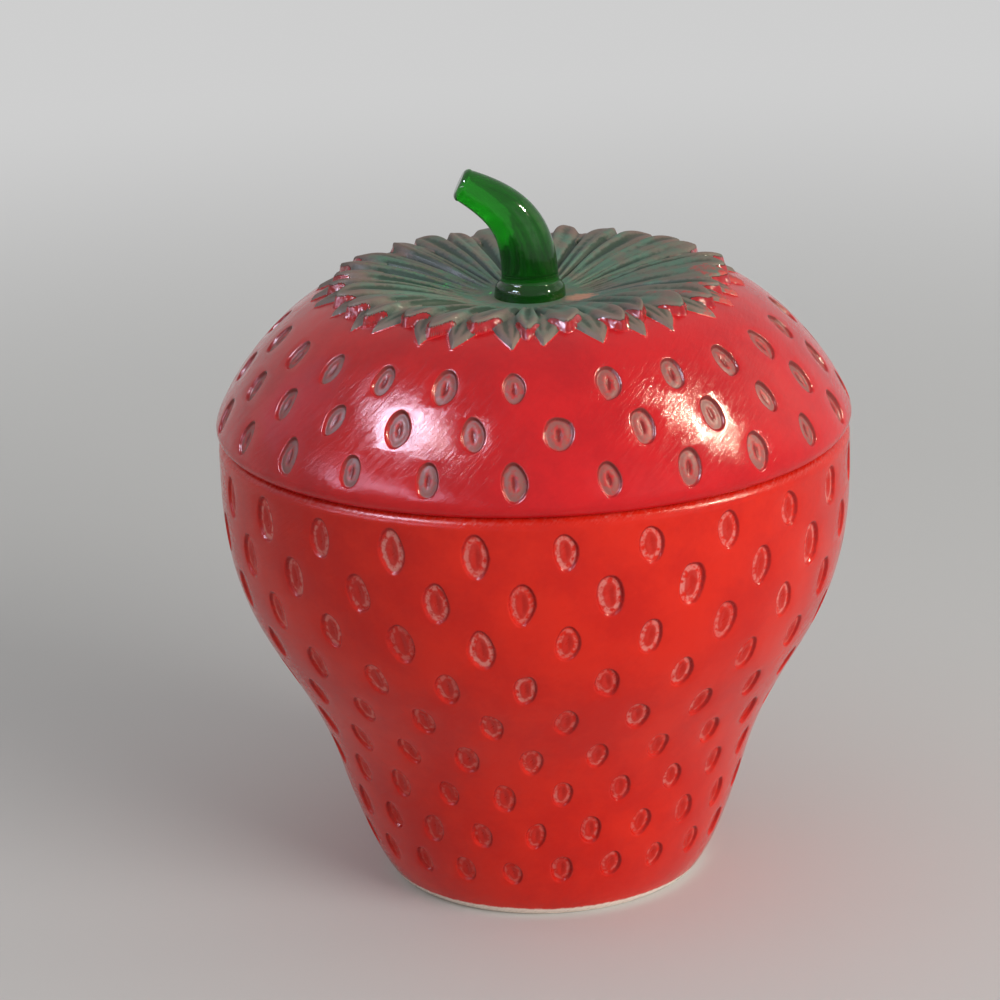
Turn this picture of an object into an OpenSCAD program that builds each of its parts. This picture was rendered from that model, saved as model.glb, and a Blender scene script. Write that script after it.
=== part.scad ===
// Jam pot of pressed glass in the shape of a strawberry.
// The pot stands on its foot ring. The lid drops into the mouth on a flange, and carries a leafy
// crown in relief and a bent stem of green glass, which is its handle.
// The origin is the middle of the standing ring, and +Z is up.

/* [Pot] */
// Widest diameter of the pot, at the band under its rim
pot_d = 110; // [96:1:124]
// Height of the pot from the table to its rim
pot_h = 81.5; // [72:0.5:94]
// Outer diameter of the ring that the pot stands on
foot_d = 55; // [49:1:60]
// Width of the flat ring that the pot stands on
foot_land = 4; // [3:0.5:6]
// Depth of the hollow under the foot
foot_hollow = 1.8; // [1:0.2:3]
// Diameter of the narrow part above the foot
waist_d = 72.8; // [67:0.2:79]
// Height of the narrow part above the table
waist_z = 21; // [17:0.5:25]
// Height of the upright band under the rim
rim_band = 7.5; // [5:0.5:10]
// Radius of the rounded outer edge of the rim
rim_round = 2; // [1:0.25:2.5]
// Thickness of the pot's wall
pot_wall = 4.7; // [3.5:0.1:6]
// Thickness of the floor at its middle, from the foot hollow up
floor_t = 5; // [4:0.5:8]
// Radius of the rounded corner between floor and wall
floor_round = 9; // [6:0.5:12]

/* [Lid] */
// Height of the lid's crown above the pot's rim
lid_h = 25.7; // [22:0.1:31]
// How far the lid's widest line stands out past the pot
lid_proud = 0.25; // [0:0.05:1]
// Height of the lid's widest line above the pot's rim
edge_h = 2; // [1.5:0.25:4]
// How far the lid's lower edge is drawn in from its widest line
edge_draw = 1.4; // [0.8:0.1:2]
// Thickness of the lid's wall
lid_wall = 4.2; // [3:0.1:5]
// Diameter of the ridge round the crown, where the lid is highest
crown_d = 58; // [52:1:64]
// Depth of the hollow in the middle of the crown
dish_depth = 3.5; // [2.5:0.1:5]
// Depth of the flange that drops into the mouth of the pot
flange_h = 3.5; // [2.5:0.25:6]
// Thickness of the flange
flange_t = 2.6; // [2:0.1:4]
// Gap between the flange and the mouth, all round
flange_gap = 0.8; // [0.5:0.1:1.5]

/* [Leaves] */
// Diameter of the leafy crown over the tips of its lower, longer leaves
leaves_d = 76; // [70:1:82]
// Number of upper leaves, with as many lower ones showing between them
leaf_count = 30; // [24:1:36]
// How far the notches beside the lower leaves reach in from their tips
notch_depth = 3.5; // [2.5:0.25:5]
// Thickness of the lower leaves
leaf_edge = 0.5; // [0.4:0.1:1]
// Height that the blunt ends of the upper leaves rise over the lower ones
leaf_rise = 1.15; // [0.6:0.05:2]

/* [Stem] */
// Height of the end of the stem over the hollow of the crown, at its centre line
stem_rise = 20.25; // [16:0.25:26]
// How far the stem leans to one side
stem_reach = 10.6; // [4:0.2:14]
// Diameter of the stem above its foot
stem_d = 10; // [8:0.25:11]
// Diameter of the stem near its end
stem_tip_d = 6; // [5:0.2:8]
// Diameter of the stem's foot
stem_foot_d = 12.5; // [11.5:0.25:15]
// Height of the stem's foot
stem_foot_h = 3.6; // [3:0.2:5]
// Rounding of the stem's cut end
stem_end_round = 1.1; // [0.6:0.1:1.6]

/* [Hidden] */

// Colours of the red enamel, the painted leaves and the green glass
pot_colour = [0.78, 0.10, 0.06];
lid_colour = [0.76, 0.06, 0.09];
leaf_colour = [0.28, 0.42, 0.33];
stem_colour = [0.02, 0.36, 0.10];

// Points along each curved stretch of an outline
curve_steps = 14;
// Roundness of the turned shapes
$fn = 96;

// Sizes that follow from the ones above
pot_r = pot_d / 2;
foot_r = foot_d / 2;
waist_r = waist_d / 2;
mouth_r = pot_r - pot_wall;
lid_r = pot_r + lid_proud;
flange_r = mouth_r - flange_gap;
crown_r = crown_d / 2;
crown_z = pot_h + lid_h;
dish_z = crown_z - dish_depth;
floor_z = foot_hollow + floor_t;

// Places of the handles of the pot's two curves, as shares of the stretch that they bend
foot_turn_shares = [[0.33, 0.14], [0.7, 0.57]];
belly_turn_shares = [[0.34, 0.42], [1, 0.47]];
// The same for the lid's dome and for the hollow of its crown
dome_turn_shares = [[0, 0.15], [0.48, 1]];
dish_turn_shares = [[0.34, 0], [0.66, 1]];
// The same for the lid's rounded lower edge
edge_turn_shares = [[0.65, 0.1], [1, 0.5]];

// Columns of faces for each upper leaf, and rings of faces from the stem out to the tips
leaf_sides = 8;
leaf_rings = 7;
// Rings that are even all round, and how far they reach towards the innermost notch
even_rings = 4;
even_share = 0.9;
// Rings over which an upper leaf keeps its whole width
wide_rings = 5;
// Turn of the middle of the first upper leaf from the +X direction, in degrees
leaf_turn = 4.5;
// Play between the underside of the leaves and the lid
leaf_play = 0.35;
// How far each column reaches, 0 in a notch and 1 at the tip of a lower leaf. The columns run from the
// middle of a lower leaf over an upper leaf to the next lower one
leaf_reach_shares = [1, 0.6, 0, 0.45, 0.7, 0.45, 0, 0.6];
// Height of the same columns where the upper leaf is wide, and where it narrows to its end
wide_rise_shares = [0, 0.75, 1, 1, 0.85, 1, 1, 0.75];
narrow_rise_shares = [0, 0, 0.9, 1, 1, 1, 0.9, 0];
// Height of the upper leaves over the lower ones, ring by ring from the stem out to the ends
leaf_swell_shares = [0, 0.15, 0.3, 0.4, 0.5, 0.75, 0.95, 1];
// How much shorter than the longest a leaf may be, and how often that changes round the crown
leaf_uneven_share = 0.035;
leaf_waves = [5, 2];
leaf_columns = leaf_sides * leaf_count;
even_r = even_share * (leaves_d / 2 * (1 - 2 * leaf_uneven_share) - notch_depth);

// Faces round the stem, and steps along its foot, its shaft and its rounded end
stem_sides = 24;
foot_steps = 5;
shaft_steps = 16;
end_steps = 3;
// Places of the handles of the stem's centre line, as shares of its reach and rise
stem_low_shares = [-0.06, 0.53];
stem_high_shares = [0.09, 0.76];
// How the stem thins towards its end
stem_thinning = 2.1;
// Share of the stem's way that has passed at the top of its foot
foot_way_share = 0.13;
// A small share of the way, over which the stem's lean is measured
lean_share = 0.01;
// The foot's radius from the crown up, as shares between the stem's radius and the foot's
foot_shares = [1, 0.94, 0.88, 0.8, 0.55, 0];
turn = 360;

// Point at share t of the curve from a to d with handles b and c
function bend(a, b, c, d, t) =
    pow(1 - t, 3) * a + 3 * t * pow(1 - t, 2) * b + 3 * t * t * (1 - t) * c + pow(t, 3) * d;

// Handle of a curve from a to d at a pair of shares, one across and one up
function handle(a, d, shares) = [a[0] + shares[0] * (d[0] - a[0]), a[1] + shares[1] * (d[1] - a[1])];

// Points of the curve from a to d, both ends included
function stretch(a, d, turn_shares) =
    let (b = handle(a, d, turn_shares[0]), c = handle(a, d, turn_shares[1]))
    [for (i = [0:curve_steps]) bend(a, b, c, d, i / curve_steps)];

// Points of a quarter round about c, from the angle from_a to the angle to_a
function corner(c, r, from_a, to_a, steps = 5) =
    [for (i = [0:steps]) let (a = from_a + (to_a - from_a) * i / steps) c + r * [cos(a), sin(a)]];

// The same row of points moved to its left by d, square to the row
function moved_in(row, d) =
    [for (i = [0:len(row) - 1])
        let (along = row[min(i + 1, len(row) - 1)] - row[max(i - 1, 0)])
        row[i] + d * [-along[1], along[0]] / norm(along)];

function reversed(row) = [for (i = [len(row) - 1:-1:0]) row[i]];

// Outside of the pot from the foot up to the band under the rim
foot_curve = stretch([foot_r, 0], [waist_r, waist_z], foot_turn_shares);
belly_curve = stretch([waist_r, waist_z], [pot_r, pot_h - rim_band], belly_turn_shares);
pot_outside = concat(foot_curve, [for (i = [1:curve_steps]) belly_curve[i]]);

// Inside of the pot, one wall in from the outside and above the rounded corner of the floor
pot_inside = [for (p = moved_in(pot_outside, pot_wall)) if (p[1] > floor_z + floor_round) p];
corner_r = pot_inside[0][0];

// Outside of the lid from its widest line to the middle of the crown
dome_curve = stretch([lid_r, pot_h + edge_h], [crown_r, crown_z], dome_turn_shares);
dish_curve = stretch([crown_r, crown_z], [stem_foot_d / 2, dish_z], dish_turn_shares);
edge_curve = stretch([lid_r - edge_draw, pot_h], [lid_r, pot_h + edge_h], edge_turn_shares);
lid_outside = concat(dome_curve, [for (i = [1:curve_steps]) dish_curve[i]]);
flange_in_r = flange_r - flange_t;
lid_inside = [for (p = moved_in(lid_outside, lid_wall)) if (p[0] < flange_in_r) p];

// Outside of the lid as heights over the radius, from the middle out, for the leaves that lie on it
lid_top = reversed(lid_outside);

// Body of the pot with its foot ring, open mouth and flat rim
module pot() {
    outline = concat(
        [[0, foot_hollow], [foot_r - foot_land - foot_hollow, foot_hollow], [foot_r - foot_land, 0]],
        pot_outside,
        corner([pot_r - rim_round, pot_h - rim_round], rim_round, 0, 90),
        corner([mouth_r + rim_round / 2, pot_h - rim_round / 2], rim_round / 2, 90, 180),
        reversed(pot_inside),
        corner([corner_r - floor_round, floor_z + floor_round], floor_round, 0, -90),
        [[0, floor_z]]
    );
    color(pot_colour)
        rotate_extrude()
            polygon(outline);
}

// Domed lid with its seat, its flange and the hollow crown that the stem stands in
module lid() {
    outline = concat(
        [[flange_r, pot_h]],
        [for (i = [0:curve_steps - 1]) edge_curve[i]],
        lid_outside,
        [[0, dish_z], [0, dish_z - lid_wall]],
        reversed(lid_inside),
        [[flange_in_r, pot_h - flange_h], [flange_r, pot_h - flange_h]]
    );
    color(lid_colour)
        rotate_extrude()
            polygon(outline);
}

// Leaf that a column of points belongs to, and how far out the column reaches
function leaf_of(column) = floor(column / leaf_sides);
function leaf_tip_r(i) =
    let (wave = sin(i * turn * leaf_waves[0] / leaf_count) * cos(i * turn * leaf_waves[1] / leaf_count))
    leaves_d / 2 * (1 - leaf_uneven_share * (1 + wave));
function leaf_edge_r(column) =
    leaf_tip_r(leaf_of(column)) - notch_depth * (1 - leaf_reach_shares[column % leaf_sides]);
function leaf_ring_r(column, ring) =
    ring <= even_rings
        ? stem_foot_d / 2 + ring / even_rings * (even_r - stem_foot_d / 2)
        : even_r + (ring - even_rings) / (leaf_rings - even_rings) * (leaf_edge_r(column) - even_r);

// Height of a point of the leaves over their underside
function leaf_height(column, ring) =
    let (rise_shares = ring <= wide_rings ? wide_rise_shares : narrow_rise_shares)
    leaf_edge + leaf_rise * leaf_swell_shares[ring] * rise_shares[column % leaf_sides];
function leaf_point(column, ring, raised) =
    let (
        r = leaf_ring_r(column, ring),
        a = leaf_turn + turn * (column - leaf_sides / 2) / leaf_columns,
        z = lookup(r, lid_top) + leaf_play + (raised ? leaf_height(column, ring) : 0)
    )
    [r * cos(a), r * sin(a), z];

// Leafy crown in relief, one closed ring that lies on the lid: blunt upper leaves with furrows between
// them, and the pointed tips of the lower leaves in the gaps between their ends
module leaves() {
    rings = leaf_rings + 1;
    low = leaf_columns * rings;
    points = [for (raised = [true, false], c = [0:leaf_columns - 1], k = [0:leaf_rings])
        leaf_point(c, k, raised)];
    faces = [for (c = [0:leaf_columns - 1])
        let (here = c * rings, next = (c + 1) % leaf_columns * rings, out = leaf_rings)
        each concat(
            [for (k = [0:leaf_rings - 1]) each [
                [here + k, next + k, next + k + 1],
                [here + k, next + k + 1, here + k + 1],
                [low + here + k, low + next + k + 1, low + next + k],
                [low + here + k, low + here + k + 1, low + next + k + 1]
            ]],
            [
                [here, low + here, low + next],
                [here, low + next, next],
                [here + out, next + out, low + next + out],
                [here + out, low + next + out, low + here + out]
            ]
        )];
    color(leaf_colour)
        polyhedron(points, faces, convexity = 8);
}

// Centre line, lean and thickness of the stem at share t of its way
function stem_at(t) = bend(
    [0, dish_z],
    [-stem_low_shares[0] * stem_reach, dish_z + stem_low_shares[1] * stem_rise],
    [-stem_high_shares[0] * stem_reach, dish_z + stem_high_shares[1] * stem_rise],
    [-stem_reach, dish_z + stem_rise],
    t
);
function stem_lean(t) =
    let (step = stem_at(min(t + lean_share, 1)) - stem_at(max(t - lean_share, 0)))
    t == 0 ? 0 : atan2(-step[0], step[1]);
function shaft_r(t) = (stem_d + (stem_tip_d - stem_d) * pow(t, stem_thinning)) / 2;
function stem_r(t) =
    let (k = (stem_at(t)[1] - dish_z) / stem_foot_h * foot_steps, i = floor(k))
    k >= foot_steps ? shaft_r(t)
    : let (share = foot_shares[i] + (k - i) * (foot_shares[i + 1] - foot_shares[i]))
    shaft_r(t) + (stem_foot_d / 2 - shaft_r(t)) * share;

// Points round the stem at share t, moved on along its lean by ahead
function stem_ring(t, r, ahead = 0) =
    let (p = stem_at(t), lean = stem_lean(t))
    [for (j = [0:stem_sides - 1])
        let (a = turn * j / stem_sides, side = r * cos(a))
        [
            p[0] + side * cos(lean) - ahead * sin(lean),
            r * sin(a),
            p[1] + side * sin(lean) + ahead * cos(lean)
        ]];

// Bent stem of green glass with a spread foot and a cut end with a rounded edge
module stem() {
    ways = concat(
        [for (i = [0:foot_steps]) foot_way_share * i / foot_steps],
        [for (i = [1:shaft_steps]) foot_way_share + (1 - foot_way_share) * i / shaft_steps]
    );
    shaft = [for (t = ways) each stem_ring(t, stem_r(t))];
    end_rings = [for (i = [1:end_steps])
        let (a = 90 * i / end_steps)
        each stem_ring(1, stem_tip_d / 2 - stem_end_round * (1 - cos(a)), stem_end_round * sin(a))];
    count = len(ways) + end_steps;
    foot_middle = count * stem_sides;
    end_middle = foot_middle + 1;
    middles = [[0, 0, dish_z], stem_ring(1, 0, stem_end_round)[0]];
    sides = [for (k = [0:count - 2], j = [0:stem_sides - 1])
        let (here = k * stem_sides, up = here + stem_sides, next = (j + 1) % stem_sides)
        each [[here + j, up + j, up + next], [here + j, up + next, here + next]]];
    ends = [for (j = [0:stem_sides - 1])
        let (next = (j + 1) % stem_sides, last = (count - 1) * stem_sides)
        each [[foot_middle, j, next], [end_middle, last + next, last + j]]];
    color(stem_colour)
        polyhedron(concat(shaft, end_rings, middles), concat(sides, ends), convexity = 6);
}

pot();
lid();
leaves();
stem();
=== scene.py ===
"""Looks of the jam pot: pressed glass in red enamel, with painted leaves and a stem of green glass.

Every piece follows the same curves as the solid that it stands for. Lengths are in metres.
"""
import math

import bmesh
import bpy
import numpy as np
from bpy.props import FloatProperty, FloatVectorProperty, IntProperty, PointerProperty
from mathutils import Matrix, Vector


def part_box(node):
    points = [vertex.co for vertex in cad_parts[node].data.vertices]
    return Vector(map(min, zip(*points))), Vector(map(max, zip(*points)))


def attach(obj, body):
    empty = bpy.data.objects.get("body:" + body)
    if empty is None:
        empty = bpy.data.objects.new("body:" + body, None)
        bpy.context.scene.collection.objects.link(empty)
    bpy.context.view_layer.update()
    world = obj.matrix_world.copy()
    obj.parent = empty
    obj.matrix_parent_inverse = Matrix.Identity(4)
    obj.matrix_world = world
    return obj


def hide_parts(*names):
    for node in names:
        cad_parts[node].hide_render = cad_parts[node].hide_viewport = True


bl_info = {
    "name": "Berry jam pot",
    "version": (1, 0, 0),
    "blender": (4, 5, 0),
    "location": "3D View > Sidebar > Jam pot",
    "description": "Dresses the jam pot: seeded enamel, leafy crown, glass stem and a plain studio",
    "category": "Object",
}

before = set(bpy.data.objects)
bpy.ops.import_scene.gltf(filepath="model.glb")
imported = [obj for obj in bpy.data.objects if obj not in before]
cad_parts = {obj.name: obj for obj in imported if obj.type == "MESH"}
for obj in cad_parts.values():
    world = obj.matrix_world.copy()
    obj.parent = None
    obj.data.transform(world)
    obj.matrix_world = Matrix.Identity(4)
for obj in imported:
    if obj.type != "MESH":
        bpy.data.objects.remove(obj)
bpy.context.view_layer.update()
POT_BOX, LID_BOX, STEM_BOX = (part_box(node) for node in ("pot", "lid", "stem"))
MM = 0.001

# Starts of the random draws of each seeded or leafy piece
POT_LUCK, LID_LUCK, LEAF_LUCK = 11, 23, 5

# How far past a ring of points the enamel goes on, where it is whole and where the glass is bare
ENAMELLED, BARE = 9 * MM, -9 * MM

# Columns of faces across each seed's cell, and steps up it
CELL_COLUMNS = 8
CELL_STEPS = 6
# A seed from its rim in to its kernel, as shares of its width, its length and its depth,
# with how far each ring is into the hollow, how far towards the kernel and how near the hollow's wall,
# where painted shade falls
SEED_RING_SHARES = (
    (1.16, 1.09, 0.0, 0.0, 0.0, 0.15),
    (1.05, 1.03, 0.08, 0.0, 0.0, 0.7),
    (0.97, 0.98, 0.45, 0.1, 0.0, 1.0),
    (0.89, 0.93, 0.93, 0.6, 0.0, 0.8),
    (0.8, 0.87, 1.0, 1.0, 0.0, 0.3),
    (0.64, 0.75, 0.88, 1.0, 0.2, 0.0),
    (0.45, 0.6, 0.78, 0.9, 0.5, 0.0),
    (0.28, 0.44, 0.86, 0.7, 0.8, 0.0),
    (0.13, 0.26, 1.15, 0.5, 1.0, 0.0),
)
# How far the lid's cells go below its lowest row and above its highest one
LID_HALF_CELL = 3.75 * MM
# How far from each of its rows the lid is turned by as much as the row
LID_HALF_ROW = 2.9 * MM
# Half the width, as a sine, of the strip in which one half of the mould goes over into the other
MOULD_STRIP = 0.09

# Radius of the level middle of the crown's hollow, under the stem's foot
HOLLOW_FLOOR = 6.25 * MM
# Columns of points across each leaf, and the radius from which the rings of points lie closer
LEAF_COLUMNS = 24
CLOSE_RINGS = 26 * MM
# Middles of the places where the leaf paint is worn to the enamel, and rubbed pale beside the stem
WORN_PLACE = (27 * MM, -10 * MM, 105 * MM)
RUBBED_PLACE = (8.6 * MM, -3.4 * MM, 105 * MM)

# Handles of the stem's curve, as shares of its reach and of its rise
STEM_HANDLES = ((0, 0), (0.06, 0.53), (-0.09, 0.76), (-1, 1))
# Shares of the foot's height, and how much of the foot's extra width the stem has there
FOOT_HEIGHTS = (0, 0.25, 0.5, 0.68, 0.8, 0.88, 0.95, 1.1)
FOOT_WIDTHS = (1, 0.95, 0.88, 0.76, 0.48, 0.18, 0.04, -0.03)

# Strength of the pale surroundings: where they light the pot, and where they are seen
LIGHTING_LEVEL, SEEN_LEVEL = 0.5, 0.62
# The lamps face this point on the axis
LAMP_AIM = (0, 0, 0.07)
# The photograph's camera: the picture's side and the focal length in pixels, the pixel that shows the point
# on the axis at AIM_HEIGHT, the distance to that point, and the angles by which it looks down and leans
FRAME_PIXELS, FOCAL_PIXELS = 1000, 3400.0
AIM_PIXEL = (536.7, 526.5)
AIM_HEIGHT = 62.16 * MM
CAMERA_DISTANCE = 0.6
CAMERA_DOWN, CAMERA_ROLL = math.radians(17.91), math.radians(1.9)
SENSOR = 36


def length(name, description, default):
    """A size that the panel shows as a length"""
    return FloatProperty(
        name=name, description=description, default=default, unit="LENGTH", subtype="DISTANCE", precision=5
    )


def rotation(name, description, degrees):
    """A turn that the panel shows as an angle"""
    return FloatProperty(
        name=name, description=description, default=math.radians(degrees), unit="ROTATION", subtype="ANGLE"
    )


def number(name, description, default, low, high):
    """A whole number, from low to high"""
    return IntProperty(name=name, description=description, default=default, min=low, max=high)


def colour(name, description, default):
    """A colour that the panel shows as a swatch, in linear light"""
    return FloatVectorProperty(
        name=name, description=description, default=default, subtype="COLOR", min=0, max=1
    )


class PotSizes(bpy.types.PropertyGroup):
    """Sizes of the pot, as its solid has them"""
    width: length("Width", "Widest diameter, at the band under the rim", POT_BOX[1].x - POT_BOX[0].x)
    height: length("Height", "Height from the table to the rim", POT_BOX[1].z)
    foot: length("Foot", "Outer diameter of the ring that the pot stands on", 55 * MM)
    foot_land: length("Foot land", "Width of the flat ring that the pot stands on", 4 * MM)
    foot_hollow: length("Foot hollow", "Depth of the hollow under the foot", 1.8 * MM)
    foot_edge: length("Foot edge", "Rounding of the foot's edges", 0.5 * MM)
    waist: length("Waist", "Diameter of the narrow part above the foot", 72.8 * MM)
    waist_height: length("Waist height", "Height of the narrow part above the table", 21 * MM)
    band: length("Rim band", "Height of the upright band under the rim", 7.5 * MM)
    rim: length("Rim rounding", "Radius of the rounded outer edge of the rim", 2 * MM)
    wall: length("Wall", "Thickness of the wall", 4.7 * MM)
    floor: length("Floor", "Thickness of the floor at its middle", 5 * MM)
    floor_rounding: length("Floor rounding", "Radius of the corner between floor and wall", 9 * MM)
    bare_line: length("Bare line", "Height up to which the foot has no enamel", 1.5 * MM)


class LidSizes(bpy.types.PropertyGroup):
    """Sizes of the lid, as its solid has them"""
    width: length("Width", "Diameter at the lid's widest line", LID_BOX[1].x - LID_BOX[0].x)
    top: length("Top", "Height of the crown's ridge above the table", LID_BOX[1].z)
    edge: length("Edge", "Height of the widest line above the pot's rim", 2 * MM)
    drawn_in: length("Drawn in", "How far the lower edge is drawn in from the widest line", 1.4 * MM)
    wall: length("Wall", "Thickness of the wall", 4.2 * MM)
    crown: length("Crown", "Diameter of the ridge round the crown", 58 * MM)
    dish: length("Dish", "Depth of the hollow in the middle of the crown", 3.5 * MM)
    flange_gap: length("Flange gap", "Gap between the flange and the mouth of the pot", 0.8 * MM)
    flange: length("Flange", "Thickness of the flange", 2.6 * MM)


class SeedSizes(bpy.types.PropertyGroup):
    """Sizes and places of the seeds pressed into pot and lid"""
    count: number("Seeds in a row", "Number of seeds round the pot", 24, 12, 48)
    pitch: length("Pitch", "Distance from row to row on the pot", 8.15 * MM)
    first: length("First row", "Height of the lowest row on the pot", 10.2 * MM)
    rows: number("Pot rows", "Rows of seeds on the pot", 9, 1, 12)
    lid_first: length("First lid row", "Height of the lid's lowest row above the rim", 5.7 * MM)
    lid_pitch: length("Lid pitch", "Height from row to row on the lid", 6.6 * MM)
    lid_rows: number("Lid rows", "Rows of seeds on the lid", 3, 1, 4)
    width: length("Width", "Width of a seed", 3.9 * MM)
    long: length("Length", "Length of a seed", 6.2 * MM)
    depth: length("Depth", "Depth of the hollow round a seed's kernel, on the pot", 0.6 * MM)
    lid_depth: length("Lid depth", "The same on the lid", 0.6 * MM)
    turned: rotation("Turned", "Turn of the first seed in the lowest row", 4)
    lid_turned: rotation("Lid turned", "The same for the lid's lowest row", 10.6)
    lid_rows_turned: FloatVectorProperty(
        name="Rows turned", description="How far the lid's rows are turned past the line of its mould",
        default=[math.radians(degrees) for degrees in (1.4, 2.2, 5.2)], unit="ROTATION", subtype="EULER",
    )
    lid_mould_turn: rotation("Lid mould turn", "Turn of the line where the lid's mould parts", -86)
    mould_step: length("Mould step", "How far each half of the mould is out of line, up or down", 0.5 * MM)
    mould_turn: rotation("Mould turn", "Turn of the line where the pot's mould parts", -92)


class LeafSizes(bpy.types.PropertyGroup):
    """Sizes of the leafy crown"""
    opening: length("Opening", "Diameter of the crown's opening round the stem's foot", 12 * MM)
    width: length("Width", "Diameter of the crown over its leaf tips", 76 * MM)
    count: number("Leaves", "Number of leaves in the upper layer", 30, 12, 48)
    taper: length("Taper", "Length over which a leaf narrows to its tip", 8.5 * MM)
    set_back: length("Set back", "How far the upper tips stay inside the lower ones", 1.6 * MM)
    thick: length("Thickness", "Height of a leaf over the lid", 1.25 * MM)
    tip: length("Tip", "Height of an upper leaf's blunt end over the lid", 2.0 * MM)
    under: length("Lower leaves", "Height of the lower leaves over the lid", 0.8 * MM)
    vein: length("Veins", "Depth of the fine grooves along a leaf", 0.42 * MM)
    valley: length("Valleys", "Depth of the grooves between leaves", 0.75 * MM)
    veins: number("Veins in a leaf", "Number of fine grooves along a leaf", 2, 1, 8)
    draft: length("Draft", "Run of the sloping faces that end a leaf", 0.9 * MM)


class StemSizes(bpy.types.PropertyGroup):
    """Sizes of the bent glass stem, as its solid has them"""
    rise: length("Rise", "Height of the end's middle over the hollow of the crown", 20.25 * MM)
    reach: length("Reach", "How far the stem leans to one side", 10.6 * MM)
    width: length("Width", "Diameter above the foot", 10 * MM)
    tip: length("Tip", "Diameter near the end", 6 * MM)
    foot: length("Foot", "Diameter of the foot", 12.5 * MM)
    foot_height: length("Foot height", "Height of the foot", 3.6 * MM)
    end_rounding: length("End rounding", "Rounding of the cut end", 1.1 * MM)


class Colours(bpy.types.PropertyGroup):
    """Colours of the enamel, the leaf paint, the glass and the floor"""
    pot: colour("Pot enamel", "Orange-red enamel of the pot", (0.64, 0.017, 0.006))
    pot_deep: colour("Pot enamel, thick", "The same where it lies thick", (0.54, 0.011, 0.005))
    lid: colour("Lid enamel", "Red enamel of the lid", (0.6, 0.006, 0.009))
    lid_deep: colour("Lid enamel, thick", "The same where it lies thick", (0.48, 0.004, 0.008))
    lid_hollow: colour("Lid hollows", "Grey-brown paint in the lid's hollows", (0.24, 0.11, 0.095))
    # Painted shade on the walls of the lid's seed hollows, darkest on their upper side
    lid_wall_shade: colour("Lid hollows' walls", "Dark paint on the walls of those hollows", (0.13, 0.03, 0.025))
    # Painted shade in the middle slot of each lid seed
    lid_slot_shade: colour("Lid seeds' middles", "Enamel in the middle of the lid's seeds", (0.18, 0.008, 0.008))
    # Painted shade in the middle of each pot seed
    pot_middle_shade: colour("Pot hollows", "Enamel in the middle of the pot's seeds", (0.5, 0.016, 0.009))
    # Painted shade on the walls of the pot's seed hollows, darkest on their upper side
    pot_wall_shade: colour("Pot hollows' walls", "Thick enamel on the walls of its hollows", (0.27, 0.01, 0.01))
    # Also the pale band along the pot's rim: partly worn enamel, partly a painted highlight
    pot_worn: colour("Pot hollows' rings", "Worn pale rings of the pot's seeds", (0.74, 0.3, 0.26))
    milk: colour("Milk glass", "Bare white glass", (0.85, 0.73, 0.63))
    leaf: colour("Leaf paint", "Grey-green paint of the leaves", (0.08, 0.166, 0.114))
    leaf_deep: colour("Leaf grooves", "Dark green paint in the grooves", (0.004, 0.035, 0.015))
    leaf_worn: colour("Leaf edges", "Grey-brown of thin paint over the enamel", (0.19, 0.115, 0.09))
    rubbed: colour("Rubbed patch", "Pale patch beside the stem's foot", (0.62, 0.27, 0.17))
    stem: colour("Green glass", "Glass of the stem", (0.012, 0.38, 0.012))
    floor: colour("Floor", "Floor of the studio", (0.62, 0.62, 0.61))


def groups(context, *names):
    """The scene's groups of sizes or colours with the given names"""
    return [getattr(context.scene, "jampot_" + name) for name in names]


# Outlines and skins


def bent(start, end, turns, steps):
    """Points of the curve from start to end, with its two handles at shares of the stretch across and up"""
    t = np.linspace(0, 1, steps + 1)[:, None]
    a, d = np.array(start, float), np.array(end, float)
    b, c = (a + np.array(turn) * (d - a) for turn in turns)
    return (1 - t) ** 3 * a + 3 * t * (1 - t) ** 2 * b + 3 * t**2 * (1 - t) * c + t**3 * d


def rounded(middle, radius, start, end, steps):
    """Points of a round corner about middle, between two angles in degrees"""
    angles = np.radians(np.linspace(start, end, steps + 1))
    return [(middle[0] + radius * math.cos(a), middle[1] + radius * math.sin(a)) for a in angles]


def smooth(value, low, high):
    """0 below low and 1 above high, with an even change between"""
    t = np.clip((np.asarray(value, float) - low) / (high - low), 0, 1)
    return t * t * (3 - 2 * t)


def round_axis(r, turns, z):
    """Points at radii r and heights z, turned round the axis"""
    return np.stack(np.broadcast_arrays(r * np.cos(turns), r * np.sin(turns), z), -1)


def with_paint(places, painted):
    """Rings through (radius, height) places, each with how far past it the enamel goes on"""
    return [(r, z, painted) for r, z in places]


class Outline:
    """Outline of a turned body, from the bottom up, which finds places by the way along it"""

    def __init__(self, points):
        self.points = np.array(points, float)
        self.ways = np.concatenate([[0], np.cumsum(np.linalg.norm(np.diff(self.points, axis=0), axis=1))])
        along = np.gradient(self.points, self.ways, axis=0)
        along /= np.linalg.norm(along, axis=1)[:, None]
        self.facing = np.stack([along[:, 1], -along[:, 0]], 1)

    def at(self, way):
        """Radius and height"""
        return np.stack([np.interp(way, self.ways, self.points[:, i]) for i in (0, 1)], -1)

    def out(self, way):
        """Direction straight out of the body"""
        facing = np.stack([np.interp(way, self.ways, self.facing[:, i]) for i in (0, 1)], -1)
        return facing / np.linalg.norm(facing, axis=-1)[..., None]

    def way_up(self, height):
        """Way at which the outline is at a height"""
        return float(np.interp(height, self.points[:, 1], self.ways))

    def moved_in(self, distance):
        """Points of the outline's parallel inside the body"""
        return self.points - distance * self.facing


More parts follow.
